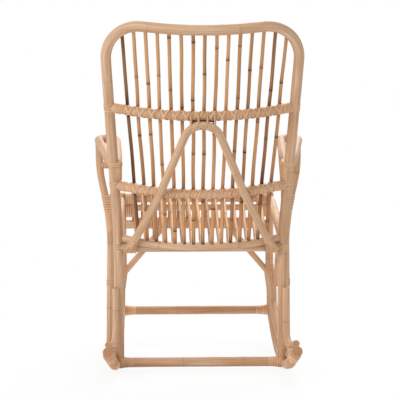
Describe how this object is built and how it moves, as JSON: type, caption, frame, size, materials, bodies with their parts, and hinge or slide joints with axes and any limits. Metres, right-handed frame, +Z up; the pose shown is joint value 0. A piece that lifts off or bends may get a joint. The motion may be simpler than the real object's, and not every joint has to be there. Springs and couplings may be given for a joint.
{
  "type": "rocking chair",
  "caption": "Rattan rocking chair with a tall spindle back, a sloping spindle seat, looped arms and bent paired runners, its joints bound with peel.",
  "frame": {"origin": "on the floor, under the middle of the chair's box", "axes": "+Z up, +X to the sitter's left, -Y the way the sitter faces"},
  "size_m": [0.6184, 0.9149, 0.9749],
  "materials": {
    "rattan_pole": "satin",
    "rattan_spindle": "satin",
    "rattan_peel": "satin"
  },
  "bodies": {
    "root": {"arm_loop_left": "rattan_pole", "arm_loop_right": "rattan_pole", "arm_post_left": "rattan_pole", "arm_post_right": "rattan_pole", "arm_post_windings": "rattan_peel", "arm_rung_left": "rattan_pole", "arm_rung_right": "rattan_pole", "arm_windings": "rattan_peel", "back_brace": "rattan_pole", "back_frame": "rattan_pole", "back_post_windings": "rattan_peel", "back_spindle_01": "rattan_spindle", "back_spindle_02": "rattan_spindle", "back_spindle_03": "rattan_spindle", "back_spindle_04": "rattan_spindle", "back_spindle_05": "rattan_spindle", "back_spindle_06": "rattan_spindle", "back_spindle_07": "rattan_spindle", "back_spindle_08": "rattan_spindle", "back_spindle_09": "rattan_spindle", "back_spindle_10": "rattan_spindle", "back_spindle_11": "rattan_spindle", "back_spindle_12": "rattan_spindle", "back_spindle_13": "rattan_spindle", "back_spindle_14": "rattan_spindle", "back_spindle_15": "rattan_spindle", "corner_brace_left": "rattan_pole", "corner_brace_right": "rattan_pole", "front_lower_rail": "rattan_pole", "front_middle_rail": "rattan_pole", "front_stretcher": "rattan_pole", "front_top_rail": "rattan_pole", "inner_arm_post_left": "rattan_pole", "inner_arm_post_right": "rattan_pole", "inner_runner_left": "rattan_pole", "inner_runner_right": "rattan_pole", "leg_windings": "rattan_peel", "lower_back_rail": "rattan_pole", "lower_rail_winding": "rattan_peel", "outer_runner_left": "rattan_pole", "outer_runner_right": "rattan_pole", "rear_leg_brace_left": "rattan_pole", "rear_leg_brace_right": "rattan_pole", "rear_seat_rail": "rattan_pole", "rear_spindle_rail": "rattan_pole", "rear_stretcher": "rattan_pole", "seat_spindles": "rattan_spindle", "seat_windings": "rattan_peel", "side_brace_left": "rattan_pole", "side_brace_right": "rattan_pole", "side_seat_rail_left": "rattan_pole", "side_seat_rail_right": "rattan_pole", "stretcher_windings": "rattan_peel", "upper_back_rail": "rattan_pole", "upper_rail_winding": "rattan_peel"}
  },
  "joints": []
}
